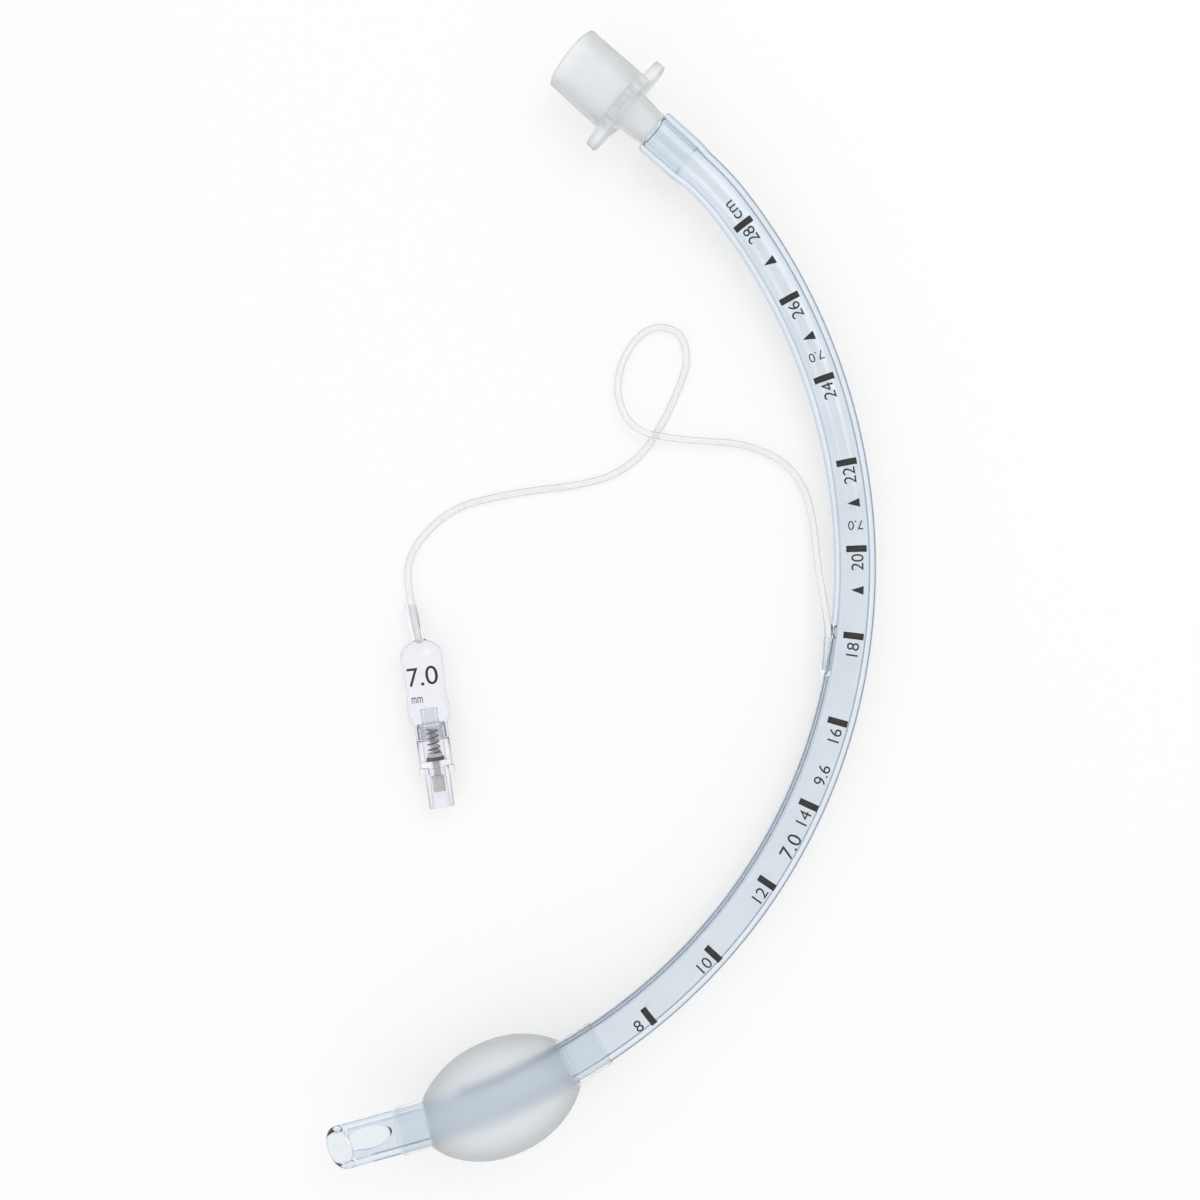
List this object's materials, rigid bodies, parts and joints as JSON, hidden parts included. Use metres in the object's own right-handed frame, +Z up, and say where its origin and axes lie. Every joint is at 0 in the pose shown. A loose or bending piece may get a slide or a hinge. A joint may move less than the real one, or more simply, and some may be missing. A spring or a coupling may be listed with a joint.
{
  "type": "cuffed endotracheal tube",
  "caption": "Curved clear airway tube with bevelled tip, side eye, inflated cuff, 15 mm connector, and an inflation line with pilot balloon and sprung valve.",
  "frame": {"origin": "on the table under the middle of the airway tube's outline, the free inflation line apart", "axes": "+Z up from the table, +Y along the tube's length from the tip end to the connector end, +X to the tube's outer, convex side"},
  "size_m": [0.1259, 0.2566, 0.0254],
  "materials": {
    "tube_pvc": "clear flexible tube, smooth, with a dark scale",
    "connector_plastic": "milky translucent moulding, fine satin",
    "cuff_film": "thin frosted film",
    "line_pvc": "clear small tube",
    "balloon_film": "thin clear film",
    "valve_clear": "clear hard moulding",
    "spring_steel": "drawn wire",
    "plunger_plastic": "beige satin moulding",
    "seal_rubber": "dark matt rubber"
  },
  "bodies": {
    "tube_set": {"main_tube": "tube_pvc", "connector": "connector_plastic", "cuff": "cuff_film", "inflation_line": "line_pvc", "pilot_balloon": "balloon_film", "valve_body": "valve_clear", "valve_cap": "valve_clear", "valve_spring": "spring_steel"},
    "plunger": {"valve_plunger": "plunger_plastic", "valve_seal": "seal_rubber"}
  },
  "joints": [
    {"name": "plunger_slide", "type": "slide", "parent": "tube_set", "child": "plunger", "axis": [-0.1374, 0.9905, 0], "range_m": [0, 0.0015], "stiffness_N_per_m": 300, "springref_m": -0.001, "deforming": ["valve_spring"]}
  ]
}
